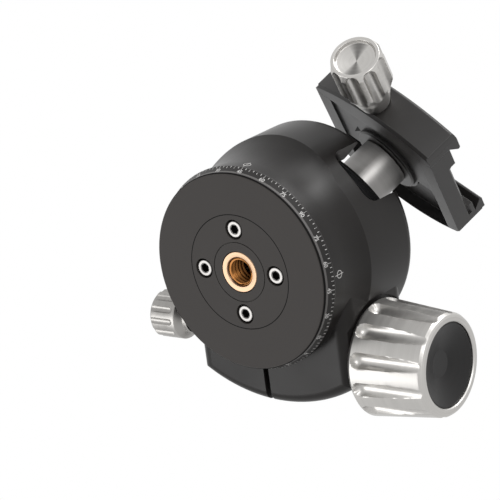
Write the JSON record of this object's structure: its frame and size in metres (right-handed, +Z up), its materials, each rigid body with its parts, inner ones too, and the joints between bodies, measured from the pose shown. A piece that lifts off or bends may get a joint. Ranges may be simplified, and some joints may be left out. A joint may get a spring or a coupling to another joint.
{
  "type": "tripod ball head",
  "caption": "Tripod ball head: panning base, split clamping housing with drop notch, ball and stem, screw dovetail clamp and fluted knobs.",
  "frame": {"origin": "centre of the tripod thread's mouth, in the plane of the base's bottom face", "axes": "+Z up the panning axis, +X parallel to the main clamping screw towards its knob, +Y towards the housing's split clamping boss"},
  "size_m": [0.1031, 0.12, 0.0959],
  "materials": {
    "base_anodised": "matte dark anodised",
    "body_anodised": "fine satin black anodised",
    "clamp_anodised": "fine satin black anodised",
    "knob_aluminium": "satin turned",
    "stem_steel": "polished turned steel",
    "bright_steel": "bright fasteners",
    "spring_steel": "dull spring steel",
    "insert_bronze": "bright turned bronze",
    "shoe_brass": "plain brass",
    "ball_anodised": "hard black anodised",
    "seat_plastic": "plain acetal",
    "cap_plastic": "matte black"
  },
  "bodies": {
    "base": {"base_disc": "base_anodised", "scale_ring": "body_anodised", "cover_plate": "base_anodised", "thread_insert": "insert_bronze", "cover_screws": "bright_steel", "pan_spindle": "bright_steel", "lower_pan_washer": "seat_plastic"},
    "housing": {"housing": "body_anodised", "bearing_ring": "bright_steel", "upper_pan_washer": "seat_plastic", "lower_ball_seat": "seat_plastic", "upper_ball_seat": "seat_plastic", "seat_spring": "spring_steel"},
    "ball": {"ball": "ball_anodised"},
    "clamp_mount": {"stem": "stem_steel", "stem_collar": "clamp_anodised", "clamp_body": "clamp_anodised", "clamp_bolt": "bright_steel", "jaw_springs": "spring_steel"},
    "clamp_jaw": {"moving_jaw": "clamp_anodised", "jaw_guide_pins": "bright_steel"},
    "clamp_lock": {"clamp_knob": "knob_aluminium", "clamp_screw": "bright_steel", "clamp_knob_washer": "bright_steel"},
    "main_stop": {"main_knob_washer": "bright_steel"},
    "main_lock": {"main_knob": "knob_aluminium", "main_knob_cap": "cap_plastic", "main_knob_bolt": "bright_steel", "main_screw": "bright_steel"},
    "pan_stop": {"pan_brake_shoe": "shoe_brass"},
    "pan_lock": {"pan_lock_knob": "knob_aluminium", "pan_lock_screw": "bright_steel"}
  },
  "joints": [
    {"name": "pan", "type": "hinge", "parent": "base", "child": "housing", "pos_m": [0, 0, 0.0047], "axis": [0, 0, 1], "continuous": true},
    {"name": "ball_tilt", "type": "hinge", "parent": "housing", "child": "ball", "pos_m": [0, 0, 0.0392], "axis": [0.6468, 0.744, 0.1678], "range_deg": [-82, 50]},
    {"name": "ball_spin", "type": "hinge", "parent": "ball", "child": "clamp_mount", "pos_m": [0, 0, 0.0392], "axis": [0.3812, -0.5058, 0.7738], "continuous": true},
    {"name": "jaw_travel", "type": "slide", "parent": "clamp_mount", "child": "clamp_jaw", "axis": [0.1851, -0.7783, -0.5999], "range_m": [0, 0.005]},
    {"name": "clamp_knob_turn", "type": "hinge", "parent": "clamp_jaw", "child": "clamp_lock", "pos_m": [0.02145, -0.04444, 0.05347], "axis": [0.1851, -0.7783, -0.5999], "range_deg": [0, 1440]},
    {"name": "main_screw_travel", "type": "slide", "parent": "housing", "child": "main_stop", "axis": [1, 0, 0], "range_m": [0, 0.00125]},
    {"name": "main_knob_turn", "type": "hinge", "parent": "main_stop", "child": "main_lock", "pos_m": [0.032, 0.0346, 0.0262], "axis": [1, 0, 0], "range_deg": [0, 360]},
    {"name": "pan_screw_travel", "type": "slide", "parent": "housing", "child": "pan_stop", "axis": [-1, 0, 0], "range_m": [0, 0.0008]},
    {"name": "pan_knob_turn", "type": "hinge", "parent": "pan_stop", "child": "pan_lock", "pos_m": [-0.035, 0.022, 0.011], "axis": [-1, 0, 0], "range_deg": [0, 360]}
  ],
  "couplings": [
    {"joint": "clamp_knob_turn", "follows": "jaw_travel", "rad_per_m": 5026.5},
    {"joint": "main_knob_turn", "follows": "main_screw_travel", "rad_per_m": 5026.5},
    {"joint": "pan_knob_turn", "follows": "pan_screw_travel", "rad_per_m": 7854}
  ]
}
